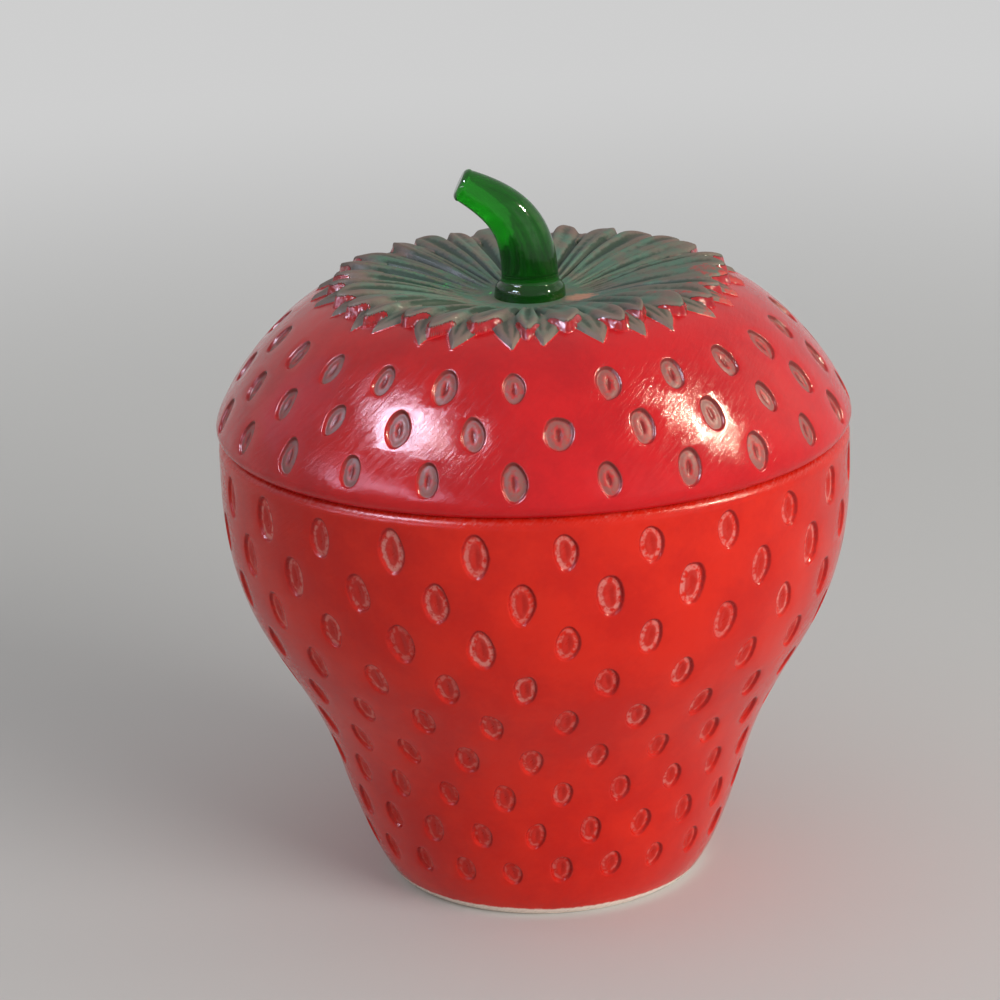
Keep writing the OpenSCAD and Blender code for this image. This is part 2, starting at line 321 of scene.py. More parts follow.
class Skin:
    """Points and faces round a turned body: the seeded part in cells, the rest in plain rings"""

    def __init__(self, columns, turned, outline):
        self.columns, self.turned, self.outline = columns, turned, outline
        self.turned_top = 0.0
        self.turns, self.ways, self.depths, self.marks = [], [], [], []
        self.shared, self.faces = {}, []

    def point(self, turn, way, depth=0.0, hollow=0.0, kernel=0.0, wall=0.0, wear=0.0):
        """A new point's number, from its turn, its way up the outline, its depth and its marks"""
        self.turns.append(turn)
        self.ways.append(way)
        self.depths.append(depth)
        self.marks.append((hollow, kernel, wall, wear))
        return len(self.turns) - 1

    def turn_of(self, column):
        """Turn of a column of points"""
        return self.turned + 2 * math.pi * column / self.columns

    def corner(self, column, way):
        """The point where a column crosses a height, which neighbouring cells share"""
        key = (column % self.columns, round(way * 1e7))
        if key not in self.shared:
            self.shared[key] = self.point(self.turn_of(column % self.columns), way)
        return self.shared[key]

    def join(self, outer, inner):
        """Faces between two rings of as many points"""
        self.faces += zip(outer, outer[1:] + outer[:1], inner[1:] + inner[:1], inner)

    def seed(self, column, low, high, width, long, depth, faint, luck):
        """A cell with its seed: rings from the cell's straight edges in to the kernel"""
        across, up = CELL_COLUMNS, CELL_STEPS
        edge = [(column + i, low) for i in range(across)]
        edge += [(column + across, low + (high - low) * i / up) for i in range(up)]
        edge += [(column + across - i, high) for i in range(across)]
        edge += [(column, high - (high - low) * i / up) for i in range(up)]
        around = [225 + 90 * i / across for i in range(across)] + [315 + 90 * i / up for i in range(up)]
        around += [45 + 90 * i / across for i in range(across)] + [135 + 90 * i / up for i in range(up)]
        cell_way = (low + high) / 2
        middle_turn = self.turn_of(column + across / 2)
        middle_turn += luck.uniform(-0.15, 0.15) * MM / self.outline.at(cell_way)[0]
        middle_way = cell_way + luck.uniform(-0.12, 0.12) * MM
        size = luck.uniform(0.88, 1.04)
        tilt = math.radians(luck.normal(0, 5))
        deep = depth * luck.uniform(0.75, 1.1)
        wear = min(luck.uniform(0, 0.7) + faint, 1)
        uneven = [(n, luck.uniform(0.01, 0.03), luck.uniform(0, 360)) for n in (2, 3, 4)]
        radius = self.outline.at(middle_way)[0]

        def oval(angle, wide, tall):
            """Turn and way of a point on the seed's tilted, slightly uneven oval"""
            bulge = 1 + sum(share * math.cos(math.radians(n * angle + start)) for n, share, start in uneven)
            x = wide * bulge * width / 2 * size * math.cos(math.radians(angle))
            y = tall * bulge * long / 2 * size * math.sin(math.radians(angle))
            x, y = x * math.cos(tilt) - y * math.sin(tilt), x * math.sin(tilt) + y * math.cos(tilt)
            return middle_turn + x / radius, middle_way + y

        ring = [self.corner(*place) for place in edge]
        halfway = []
        for (edge_column, edge_way), angle in zip(edge, around):
            turn, way = oval(angle, *SEED_RING_SHARES[0][:2])
            halfway.append(self.point((turn + self.turn_of(edge_column)) / 2, (way + edge_way) / 2))
        self.join(ring, halfway)
        ring = halfway
        # How near each point is to the seed's lower side; the upper side gets painted shade
        lows = [0.5 - 0.5 * math.sin(math.radians(angle + 25)) for angle in around]
        for wide, tall, sunk, into, inward, wall in SEED_RING_SHARES:
            inner = []
            for angle, low_side in zip(around, lows):
                # Each seed's own wear, plus painted shade that fades the pale ring towards the upper side
                worn = min(wear + (1 - low_side) * (0.15 + 0.5 * faint), 1)
                # Painted shade on the hollow's wall, darkest on the upper side
                shade_near_wall = wall * (1.15 - 0.7 * low_side)
                inner.append(self.point(*oval(angle, wide, tall), deep * sunk, into, inward, shade_near_wall, worn))
            self.join(ring, inner)
            ring = inner
        middle = self.point(middle_turn, middle_way, deep * 1.2, 0.5, 1, 0, wear)
        self.faces += zip(ring, ring[1:] + ring[:1], [middle] * len(ring))

    def seeds(self, heights, half_cell, depth, sizes, growth, fading, luck):
        """Rows of staggered cells about the given heights, and the ways of their lowest and highest edges"""
        ways = [self.outline.way_up(height) for height in heights]
        middles = [(way + above) / 2 for way, above in zip(ways, ways[1:])]
        edges = [ways[0] - half_cell, *middles, ways[-1] + half_cell]
        edges = [min(max(way, 0), self.outline.ways[-1]) for way in edges]
        for row, height in enumerate(heights):
            start = CELL_COLUMNS // 2 if row % 2 else 0
            share = growth(height)
            for column in range(start, start + self.columns, CELL_COLUMNS):
                self.seed(
                    column, edges[row], edges[row + 1],
                    sizes.width * share, sizes.long * share, depth, fading(height), luck,
                )
        return edges[0], edges[-1]

    def placed(self, step, step_turn, row_turns=()):
        """Every point in space. Past the line at step_turn the mould's other half is a step higher,
        and its rows are turned by row_turns, given as pairs of a way and a turn"""
        turns, ways, depths = np.array(self.turns), np.array(self.ways), np.array(self.depths)
        side = np.sin(turns - step_turn)
        if step:
            half = smooth(side, -0.05, 0.05) * 2 - 1
            top = self.outline.ways[-1]
            ways = ways + step * half * (smooth(ways, 0, 6 * MM) * (1 - smooth(ways, top - 4 * MM, top)))
        if row_turns:
            turns = turns + smooth(side, -MOULD_STRIP, MOULD_STRIP) * np.interp(ways, *zip(*row_turns))
            self.turned_top = row_turns[-1][1]
        place, out = self.outline.at(ways), self.outline.out(ways)
        r, z = (place - out * depths[:, None]).T
        return round_axis(r, turns, z)


def turned_mesh(skin, low_way, high_way, below, above, **mould):
    """Points, faces and marks of a closed turned body.

    below runs from the middle of the underside out to the seeded part, above from there to the middle of the
    inside. Each is a list of (radius, height, painted), where painted is how far past that ring the enamel
    goes on. A fourth value gives how far a ring takes the pale colour of the seeds' worn hollows; on the
    pot's rim this pale band is partly worn enamel and partly a painted highlight.
    """
    points = skin.placed(**mould)
    count = skin.columns
    plain_turns = np.array([skin.turn_of(column) for column in range(count)])
    far_half = smooth(np.sin(plain_turns - mould["step_turn"]), -MOULD_STRIP, MOULD_STRIP)
    marks = np.array(skin.marks)
    painted = np.full(len(points), ENAMELLED)
    faces = list(skin.faces)
    for rings, way, upward in ((below, low_way, False), (above, high_way, True)):
        ring = [skin.corner(column, way) for column in range(count)]
        turns = plain_turns + (far_half * skin.turned_top if upward else 0)
        for r, z, paint, *worn in rings if upward else rings[::-1]:
            base = len(points)
            if r == 0:
                points = np.vstack([points, [(0, 0, z)]])
                fresh = [base] * count
            else:
                points = np.vstack([points, round_axis(r, turns, z)])
                fresh = list(range(base, base + count))
            added = len(points) - base
            painted = np.concatenate([painted, np.full(added, paint)])
            marks = np.vstack([marks, np.tile((*(worn or [0]), 0, 0, 0), (added, 1))])
            lower, upper = (ring, fresh) if upward else (fresh, ring)
            for i in range(count):
                j = (i + 1) % count
                # Points that fall together, at the middle, leave a triangle
                faces.append(tuple(dict.fromkeys((lower[i], lower[j], upper[j], upper[i]))))
            ring = fresh
    named = dict(zip(("hollow", "kernel", "wall", "wear"), marks.T))
    return points, faces, {**named, "painted": painted / MM}


def piece(name, points, faces, marks, finish, sharp):
    """A smooth mesh object with its marks as attributes and its material"""
    mesh = bpy.data.meshes.new(name)
    mesh.from_pydata([tuple(p) for p in np.asarray(points, float)], [], faces)
    for mark, values in marks.items():
        mesh.attributes.new(mark, "FLOAT", "POINT").data.foreach_set("value", np.asarray(values, np.float32))
    mesh.validate()
    mesh.shade_smooth()
    mesh.set_sharp_from_angle(angle=math.radians(sharp))
    mesh.materials.append(finish)
    thing = bpy.data.objects.new(name, mesh)
    bpy.context.scene.collection.objects.link(thing)
    return thing


# Finishes


class Signal:
    """A node's output. Python's operators on it add Math nodes"""

    def __init__(self, nodes, socket):
        self.nodes, self.socket = nodes, socket

    def maths(self, operation, *terms):
        return self.nodes.node("ShaderNodeMath", {"operation": operation}, dict(enumerate(terms)))

    def __add__(self, other):
        return self.maths("ADD", self, other)

    def __sub__(self, other):
        return self.maths("SUBTRACT", self, other)

    def __mul__(self, other):
        return self.maths("MULTIPLY", self, other)

    def __truediv__(self, other):
        return self.maths("DIVIDE", self, other)

    def __rsub__(self, other):
        return self.maths("SUBTRACT", other, self)

    def __rtruediv__(self, other):
        return self.maths("DIVIDE", other, self)

    __radd__ = __add__
    __rmul__ = __mul__

    def between(self, low, high):
        """0 at low and below, 1 at high and above, with an even change between"""
        values = {"Value": self, "From Min": low, "From Max": high}
        return self.nodes.node("ShaderNodeMapRange", {"interpolation_type": "SMOOTHSTEP"}, values)


class Nodes:
    """The shader nodes of a material or of the surroundings"""

    def __init__(self, owner):
        owner.use_nodes = True
        self.tree = owner.node_tree

    def node(self, kind, settings=None, values=None, out=0):
        """One output of a new node, with its settings set first and then its sockets' values or links"""
        node = self.tree.nodes.new(kind)
        for setting, value in (settings or {}).items():
            setattr(node, setting, value)
        for socket, value in (values or {}).items():
            if isinstance(value, Signal):
                self.tree.links.new(value.socket, node.inputs[socket])
            else:
                node.inputs[socket].default_value = value
        return Signal(self, node.outputs[out])

    def seen(self):
        """1 on rays that show a thing, straight, mirrored or through glass, and 0 on those that light one"""
        rays = ("Is Camera Ray", "Is Glossy Ray", "Is Transmission Ray")
        straight, mirrored, through = (self.node("ShaderNodeLightPath", out=ray) for ray in rays)
        return (straight + mirrored + through).between(0.0, 1.0)


class Finish(Nodes):
    """A material in the making, on one Principled shader"""

    def __init__(self, name, **constants):
        self.material = bpy.data.materials.new(name)
        super().__init__(self.material)
        self.shader = self.tree.nodes["Principled BSDF"]
        self.place = self.node("ShaderNodeTexCoord", out="Object")
        for socket, value in constants.items():
            self.shader.inputs[socket.replace("_", " ")].default_value = value

    def mark(self, name):
        """A mark of the mesh's points"""
        return self.node("ShaderNodeAttribute", {"attribute_name": name}, out="Fac")

    def noise(self, size, detail=2.0, rough=0.5, place=None, **more):
        """Noise with grains of the given size"""
        values = {"Vector": place or self.place, "Scale": 1 / size, "Detail": detail, "Roughness": rough}
        return self.node("ShaderNodeTexNoise", values={**values, **more}, out="Fac")

    def mix(self, share, first, second):
        """Colour between first at share 0 and second at share 1"""
        pair = [(*c, 1.0) if not isinstance(c, Signal) else c for c in (first, second)]
        return self.node("ShaderNodeMix", {"data_type": "RGBA"}, {0: share, 6: pair[0], 7: pair[1]}, out=2)

    def away(self, place):
        """Distance from a place, in millimetres"""
        values = {0: self.place, 1: place}
        return self.node("ShaderNodeVectorMath", {"operation": "DISTANCE"}, values, out="Value") / MM

    def stretched(self, sizes, turn=(0, 0, 0)):
        """Places for noise with grains of different sizes along three turned axes"""
        values = {"Vector": self.place, "Scale": sizes, "Rotation": turn}
        return self.node("ShaderNodeMapping", {"vector_type": "TEXTURE"}, values)

    def bump(self, height, distance, below=None):
        """Relief of the given height, on top of the relief below"""
        values = {"Height": height, "Distance": distance}
        if below:
            values["Normal"] = below
        return self.node("ShaderNodeBump", values=values)

    def feed(self, **links):
        """Links signals to the shader, each under its socket's name"""
        for socket, signal in links.items():
            self.tree.links.new(signal.socket, self.shader.inputs[socket.replace("_", " ")])
        return self.material


def darker(tint, share):
    """A colour with only a share of its light"""
    return [value * share for value in tint]


def enamel(name, gloss, patchy, thin, deep, ring, wall, slot, milk):
    """Fired enamel over white glass: glossy, brushed, a little uneven, worn on the seeds, gone from the foot.

    gloss is how much it mirrors, and patchy how broken the colours of the seeds are.
    ring is the colour on the floor of the seeds' hollows with its share, wall the colour of the painted
    shade on their walls with its share, and slot the colour of the painted shade in a seed's middle with
    the way in at which it starts. The upper side of each seed gets more of the walls' painted shade.
    """
    finish = Finish(name, IOR=1.5, Specular_IOR_Level=gloss, Coat_Roughness=0.08, Coat_IOR=1.4)
    marks = ("hollow", "kernel", "wall", "wear", "painted")
    hollow, inward, shade_near_wall, wear, painted = (finish.mark(mark) for mark in marks)
    cloud = finish.noise(14 * MM, 3, 0.55)
    flecks = finish.noise(1.1 * MM, 3, 0.6)
    smear = finish.noise(0.6 * MM, 2, 0.5)
    fine = finish.noise(0.3 * MM, 3, 0.6)
    red = finish.mix((cloud * 0.8 + flecks * 0.2).between(0.36, 0.66), thin, deep)
    speckle = ((smear - 0.5) * 2.5 + (flecks - 0.5) * 4) * patchy + 1
    # Painted shade on the walls of the seeds' hollows
    painted_wall_shade = (shade_near_wall * (0.6 + speckle * 0.4)).between(0.2, 1.0) * wall[1]
    # Each seed's wear, with painted shade towards its upper side, fades its pale ring
    faded_and_shaded = wear * patchy
    in_ring = (hollow * speckle - faded_and_shaded * 0.35).between(0.25, 0.95 + patchy * 0.35)
    red = finish.mix(in_ring * (ring[1] * (1 - faded_and_shaded * 0.7)), red, ring[0])
    red = finish.mix(painted_wall_shade, red, wall[0])
    # Painted shade in the middle of each seed
    middle = (inward + (smear - 0.5) * 0.35).between(slot[1], slot[1] + 0.22)
    red = finish.mix(middle * 0.9, red, slot[0])
    bare = 1 - (painted + (flecks - 0.5) * 0.6 + (cloud - 0.5) * 0.6).between(-0.2, 0.3)
    base = finish.mix(bare, red, milk)
    along = finish.stretched((0.46 * MM, 2.6 * MM, 4.2 * MM), (0, math.radians(48), 0))
    brushed = finish.noise(1.0, 4, 0.65, along, Distortion=0.3)
    streaks = brushed.between(0.35, 0.65)
    rough = 0.07 + fine * 0.05 + streaks * 0.14 + bare * 0.14 + hollow * 0.32
    waves = finish.bump(finish.noise(5 * MM, 2, 0.5), 0.1 * MM)
    peel = finish.bump(finish.noise(0.75 * MM, 2, 0.5) * 0.6 + fine * 0.4, 0.035 * MM, below=waves)
    strokes = finish.bump(brushed, 0.075 * MM, below=peel)
    return finish.feed(Base_Color=base, Roughness=rough, Coat_Weight=0.08 * (1 - hollow), Normal=strokes)


def leaf_paint(colours):
    """Half-matt grey-green paint, dark in the grooves, thin on the edges and gone from the blunt red ends"""
    finish = Finish("leaf_paint", IOR=1.5, Specular_IOR_Level=0.4, Coat_Roughness=0.08, Coat_IOR=1.4)
    groove, blunt, thin, leafy = (finish.mark(mark) for mark in ("groove", "blunt", "thin", "leafy"))
    patchy, cloud, flecks, fine = (finish.noise(size * MM, 3, 0.6) for size in (15, 5, 1.2, 0.3))
    pooled = (groove + (flecks - 0.5) * 0.5 + (cloud - 0.5) * 0.3).between(0.12, 0.5)
    paint = finish.mix(cloud.between(0.4, 0.6) * 0.6, colours.leaf, colours.leaf_worn)
    worn = (thin + (cloud - 0.5) * 1.1 + (flecks - 0.5) * 0.5).between(0.3, 0.95)
    paint = finish.mix(worn * 0.85, paint, colours.leaf_worn)
    paint = finish.mix(pooled * (0.92 - worn * 0.25), paint, colours.leaf_deep)
    used = 1 - finish.away(WORN_PLACE).between(8, 24)
    bared = (thin * 0.2 + used * 0.5 + patchy * 0.9 + (flecks - 0.5) * 0.4 - groove * 0.3).between(1.0, 1.15)
    paint = finish.mix(bared * 0.8, paint, colours.lid)
    rubbed = 1 - (finish.away(RUBBED_PLACE) + (flecks - 0.5) * 3).between(1.6, 3.4)
    paint = finish.mix(rubbed * 0.8, paint, colours.rubbed)
    ends = (blunt + (flecks - 0.5) * 0.12 + (cloud - 0.5) * 0.3).between(0.34, 0.5)
    base = finish.mix(ends, paint, darker(colours.lid_deep, 0.8))
    leafy = (leafy + (flecks - 0.5) * 0.1).between(0.0, 0.1)
    base = finish.mix(leafy, colours.lid, base)
    rough = 0.14 + leafy * (0.42 + fine * 0.16 - ends * 0.5 - pooled * 0.06)
    rounding = finish.bump(finish.noise(2.4 * MM, 1, 0.5) * ends, 1.1 * MM)
    grain = finish.bump(flecks * 0.7 + fine * 0.3, 0.1 * MM, below=rounding)
    return finish.feed(Base_Color=base, Roughness=rough, Coat_Weight=0.03 + ends * 0.6, Normal=grain)


def green_glass(colours):
    """Clear green glass, drawn hot, with faint rings left by the tongs"""
    finish = Finish("green_glass", IOR=1.42, Specular_IOR_Level=0.35, Transmission_Weight=0.84)
    rings = finish.noise(1.0, 2, 0.5, finish.stretched((16 * MM, 16 * MM, 1.1 * MM)))
    swirl = finish.noise(6 * MM, 2, 0.5)
    uneven = (swirl * 0.6 + rings * 0.4).between(0.35, 0.65)
    base = finish.mix(uneven, darker(colours.stem, 0.72), colours.stem)
    # Painted shade low on the stem, standing in for the dark lid seen through the glass
    away = finish.away((0, 0, STEM_BOX[0].z))
    low = away.between(5.8, 7.4) * (1 - away.between(9, 13))
    base = finish.mix(low * 0.75, base, darker(colours.stem, 0.3))
    waves = finish.bump(swirl * 0.5 + rings * 0.5, 0.08 * MM)
    return finish.feed(Base_Color=base, Roughness=0.05 + rings * 0.06, Normal=waves)


def studio_floor(colours):
    """Pale floor that runs out into the pale surroundings behind it"""
    finish = Finish("studio_floor", Roughness=0.9, Specular_IOR_Level=0.2)
    base = finish.mix(finish.noise(40 * MM, 4, 0.6), darker(colours.floor, 0.99), colours.floor)
    finish.feed(Base_Color=base)
    away = finish.node("ShaderNodeVectorMath", {"operation": "LENGTH"}, {0: finish.place}, out="Value")
    pale = finish.node("ShaderNodeEmission", values={"Color": (1, 1, 1, 1), "Strength": SEEN_LEVEL})
    share = away.between(0.2, 0.75) * finish.seen()
    lit = Signal(finish, finish.shader.outputs[0])
    shown = finish.node("ShaderNodeMixShader", values={0: share, 1: lit, 2: pale})
    finish.tree.links.new(shown.socket, finish.tree.nodes["Material Output"].inputs["Surface"])
    return finish.material


# Pieces


def pot_outline(sizes):
    """Outside of the pot from the table up to where its rim starts to round off"""
    foot, waist = (sizes.foot / 2, 0), (sizes.waist / 2, sizes.waist_height)
    band = (sizes.width / 2, sizes.height - sizes.band)
    low = bent(foot, waist, ((0.33, 0.14), (0.7, 0.57)), 60)
    belly = bent(waist, band, ((0.34, 0.42), (1, 0.47)), 120)
    top = [(sizes.width / 2, z) for z in np.linspace(band[1], sizes.height - sizes.rim, 9)[1:]]
    return Outline(np.vstack([low, belly[1:], top]))


def lid_curves(pot, lid):
    """The lid's lower edge, its dome, and the hollow of its crown"""
    rim, dish = pot.height, lid.top - lid.dish
    widest, ridge = (lid.width / 2, rim + lid.edge), (lid.crown / 2, lid.top)
    edge = bent((lid.width / 2 - lid.drawn_in, rim), widest, ((0.65, 0.1), (1, 0.5)), 12)
    dome = bent(widest, ridge, ((0, 0.15), (0.48, 1)), 90)
    hollow = bent(ridge, (HOLLOW_FLOOR, dish), ((0.34, 0), (0.66, 1)), 30)
    return edge, dome, hollow


class JAMPOT_OT_pot(bpy.types.Operator):
    """Make the seeded pot of enamelled glass"""
    bl_idname = "jampot.pot"
    bl_label = "Pot"

    def execute(self, context):
        pot, seeds, colours = groups(context, "pot", "seeds", "colours")
        outline = pot_outline(pot)
        skin = Skin(seeds.count * CELL_COLUMNS, seeds.turned - math.pi / seeds.count, outline)
        heights = [seeds.first + n * seeds.pitch for n in range(seeds.rows)]

        def growth(height):
            """Seeds grow up the pot as far as 60 mm over the table"""
            return 0.86 + 0.3 * min(height / (60 * MM), 1)

        def fading(height):
            """The seeds' pale rings grow fainter towards the foot"""
            return 0.75 * (1 - height / pot.height)

        luck = np.random.default_rng(POT_LUCK)
        low, high = skin.seeds(heights, seeds.pitch / 2, seeds.depth, seeds, growth, fading, luck)

        r_foot, r_mouth = pot.foot / 2, pot.width / 2 - pot.wall
        inner_foot, edge, under = r_foot - pot.foot_land, pot.foot_edge, pot.foot_hollow
        hollow = [(0, under), (inner_foot * 0.5, under), (inner_foot - under - edge, under),
                  (inner_foot - under, under - 0.15 * edge)]
        below = with_paint(hollow, BARE)
        below += [(inner_foot - 0.4 * edge, 0.35 * edge, -5 * MM), (inner_foot + 0.3 * edge, 0, -4 * MM),
                  (r_foot - edge, 0, -2.5 * MM)]
        corner = rounded((r_foot - edge, edge), edge, -75, -15, 4)
        side = outline.at(np.linspace(outline.way_up(edge * 1.3), low, 12)[:-1])
        below += [(r, z, z - pot.bare_line) for r, z in (*corner, *side)]

        rim, top = pot.rim, pot.height
        above = with_paint(outline.at(np.linspace(high, outline.ways[-1], 3)[1:]), ENAMELLED)
        outer = rounded((pot.width / 2 - rim, top - rim), rim, 0, 90, 8)[1:]
        # The rim's rounding takes the seeds' pale ring colour: partly worn enamel, partly a painted highlight
        above += [
            (r, z, (1.7 - 0.25 * n) * MM, 0.34 * math.sin(math.pi * (n + 1) / 9) ** 2)
            for n, (r, z) in enumerate(outer)
        ]
        above += with_paint(rounded((r_mouth + rim / 2, top - rim / 2), rim / 2, 90, 180, 6), -2 * MM)
        floor_z, rounding = pot.foot_hollow + pot.floor, pot.floor_rounding
        inside = [p for p in outline.moved_in(pot.wall) if floor_z + rounding < p[1] < top - rim / 2][::-4]
        corner = rounded((inside[-1][0] - rounding, floor_z + rounding), rounding, 0, -90, 10)
        floor = [(corner[-1][0] * share, floor_z) for share in (0.66, 0.33)]
        above += with_paint([*inside, *corner, *floor, (0, floor_z)], BARE)

        mesh = turned_mesh(skin, low, high, below, above, step=seeds.mould_step, step_turn=seeds.mould_turn)
        finish = enamel(
            "pot_enamel", gloss=0.24, patchy=0.85, thin=colours.pot, deep=colours.pot_deep,
            ring=(colours.pot_worn, 0.82), wall=(colours.pot_wall_shade, 0.8), slot=(colours.pot_middle_shade, 0.3),
            milk=colours.milk,
        )
        body = piece("pot_body", *mesh, finish, 50)
        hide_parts("pot")
        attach(body, "pot")
        return {"FINISHED"}


class JAMPOT_OT_lid(bpy.types.Operator):
    """Make the seeded lid of enamelled glass"""
    bl_idname = "jampot.lid"
    bl_label = "Lid"

    def execute(self, context):
        pot, lid, seeds, colours = groups(context, "pot", "lid", "seeds", "colours")
        edge, dome, hollow = lid_curves(pot, lid)
        outline = Outline(np.vstack([edge, dome[1:]]))
        skin = Skin(seeds.count * CELL_COLUMNS, seeds.lid_turned - math.pi / seeds.count, outline)
        heights = [pot.height + seeds.lid_first + n * seeds.lid_pitch for n in range(seeds.lid_rows)]
        luck = np.random.default_rng(LID_LUCK)
        low, high = skin.seeds(
            heights, LID_HALF_CELL, seeds.lid_depth, seeds, lambda height: 1.03, lambda height: 0, luck
        )

        rim, middle_z = pot.height, hollow[-1][1]
        flange_out = pot.width / 2 - pot.wall - lid.flange_gap
        flange_in, flange_z = flange_out - lid.flange, LID_BOX[0].z
        whole = Outline(np.vstack([dome, hollow[1:]]))
        inside = [p for p in whole.moved_in(lid.wall) if p[0] < flange_in][::-3]
        flange = [(flange_in, flange_z + 0.5 * MM), (flange_in + 0.5 * MM, flange_z),
                  (flange_out - 0.5 * MM, flange_z), (flange_out, flange_z + 0.5 * MM)]
        below = with_paint([(0, middle_z - lid.wall), *inside, *flange, (flange_out, rim)], BARE)
        below += [(lid.width / 2 - lid.drawn_in - 0.4 * MM, rim, -0.6 * MM)]
        side = outline.at(np.linspace(0.1 * MM, low, 8)[:-1])
        below += [(r, z, 0.4 * MM + (z - rim) * 1.2) for r, z in side]
        above = with_paint(outline.at(np.linspace(high, outline.ways[-1], 22)[1:]), ENAMELLED)
        above += with_paint([*hollow[2::2], (3.5 * MM, middle_z), (0, middle_z)], ENAMELLED)

        turned = [(0, 0)]
        for height, turn in zip(heights, seeds.lid_rows_turned):
            way = outline.way_up(height)
            turned += [(way - LID_HALF_ROW, turn), (way + LID_HALF_ROW, turn)]
        mesh = turned_mesh(
            skin, low, high, below, above, step=0, step_turn=seeds.lid_mould_turn, row_turns=turned
        )
        finish = enamel(
            "lid_enamel", gloss=0.32, patchy=0.35, thin=colours.lid, deep=colours.lid_deep,
            ring=(colours.lid_hollow, 0.97), wall=(colours.lid_wall_shade, 0.85), slot=(colours.lid_slot_shade, 0.76),
            milk=colours.milk,
        )
        body = piece("lid_body", *mesh, finish, 50)
        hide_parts("lid")
        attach(body, "lid")
        return {"FINISHED"}


class JAMPOT_OT_leaves(bpy.types.Operator):
    """Make the leafy crown: blunt upper leaves with fine veins over pointed lower ones"""
    bl_idname = "jampot.leaves"
    bl_label = "Leaves"

    def execute(self, context):
        pot, lid, leaves, colours = groups(context, "pot", "lid", "leaves", "colours")
        _, dome, hollow = lid_curves(pot, lid)
        top = np.vstack([dome, hollow[1:]])[::-1]
        luck = np.random.default_rng(LEAF_LUCK)
        count = leaves.count
        seams = np.arange(count) + luck.uniform(-0.14, 0.14, count)
        seams = np.append(seams, seams[0] + count)
        place = np.arange(count * LEAF_COLUMNS) / LEAF_COLUMNS
        leaf = np.floor(place).astype(int)
        turns = 2 * math.pi / count * (seams[leaf] + (place - leaf) * (seams[leaf + 1] - seams[leaf]) - 0.125)
        outer = leaves.width / 2
        inner_rings = np.linspace(leaves.opening / 2, CLOSE_RINGS, 34)
        outer_rings = np.linspace(CLOSE_RINGS, outer + 0.2 * MM, 62)
        r, turn = np.meshgrid(np.concatenate([inner_rings, outer_rings[1:]]), turns, indexing="ij")
        base = np.interp(r, top[:, 0], top[:, 1])

        def layer(shift, tips, taper, bow, bends):
            """Each point's leaf, its place across it and way past its root, the leaf's width there,
            and how far the point lies inside the leaf's outline"""
            at = place + shift
            which = np.floor(at).astype(int) % count
            along = (r - (tips[which] - taper)) / taper
            past = np.clip(along, 0, 1)
            across = 2 * (at - np.floor(at)) - 1 - bends[which] * past**2
            wide = np.where(along <= 0, 1.0, 1 - past**bow)
            to_side = np.where(along <= 0, leaves.draft, (wide - np.abs(across)) * r * math.pi / count)
            return which, across, along, wide, np.minimum(to_side, tips[which] - r)

        def veins(across, wide, number):
            """Depth share of the fine grooves across a leaf, which run together at its tip"""
            narrowed = across / np.maximum(wide, 0.3)
            return (0.5 + 0.5 * np.cos(math.pi * number * (narrowed + 1))) ** 0.9

        tips = outer - leaves.set_back - luck.uniform(0, 2.4, count) * MM
        lift = luck.uniform(-0.15, 0.2, count) * MM
        lean = luck.uniform(0.4, 0.8, count) * MM * luck.choice([1, 1, 1, -1], count)
        bends = luck.uniform(-0.6, 0.5, count)
        which, across, along, wide, inside = layer(0, tips, leaves.taper, 2.9, bends)
        side = np.clip(np.abs(across) / np.maximum(wide, 0.05), 0, 1)
        vein = veins(across, wide, leaves.veins) * smooth(r, 8 * MM, 12 * MM) * (1 - smooth(along, 0.5, 0.95))
        vein *= 0.65 + 0.35 * np.cos(2.1 * which + 160 * r)
        valley = np.exp(-(((1 - side) / 0.3) ** 2)) * smooth(r, 8 * MM, 13 * MM)
        valley *= 1 - smooth(along, -0.2, 0.5)
        upper = leaves.thick * (0.5 + 0.5 * smooth(r, 7 * MM, 18 * MM))
        upper = upper + (leaves.tip - leaves.thick) * smooth(along, -0.2, 0.9)
        upper = upper + lift[which] * smooth(r, 12 * MM, 26 * MM)
        upper = upper + lean[which] * across * smooth(r, 11 * MM, 22 * MM)
        upper = upper - leaves.vein * vein - leaves.valley * valley
        upper = upper - 0.3 * MM * side**3 * smooth(along, 0, 0.4)
        cover = smooth(inside, 0, leaves.draft) ** 0.6

        low_tips = outer - luck.uniform(0, 1.3, count) * MM
        bends = luck.uniform(-0.35, 0.35, count)
        _, across, low_along, wide, low_inside = layer(0.5, low_tips, leaves.taper * 0.95, 1.6, bends)
        low_side = np.clip(np.abs(across) / np.maximum(wide, 0.05), 0, 1)
        low_vein = veins(across, wide, 3) * (1 - smooth(low_along, 0.5, 0.9))
        lower = leaves.under - 0.28 * MM * low_side**2 - 0.14 * MM * low_vein
        lower = lower - 0.15 * MM * smooth(low_along, 0.4, 1)
        lower = lower * smooth(low_inside, 0, leaves.draft * 0.6)

        height = lower + (upper - lower) * cover
        on = (inside > 0) | (low_inside > 0)
        groove = np.maximum(vein * 0.6, valley) * cover + low_vein * 0.5 * (1 - cover)
        thin = np.maximum(side**4 * smooth(along, -0.8, 0.2) * 0.8, 0.85 * smooth(along, -0.4, 0.6)) * cover
        thin = thin + (0.75 + 0.25 * smooth(low_along, 0.2, 0.9)) * (1 - cover)
        blunt = (1 - smooth(cover, 0.5, 1)) * (inside > -0.1 * MM) * smooth(along, 0.45, 0.75)
        blunt = np.maximum(blunt, smooth(along, 0.86, 1.0) * cover)
        leafy = np.clip(np.maximum(inside, low_inside) / MM, -1, 1)

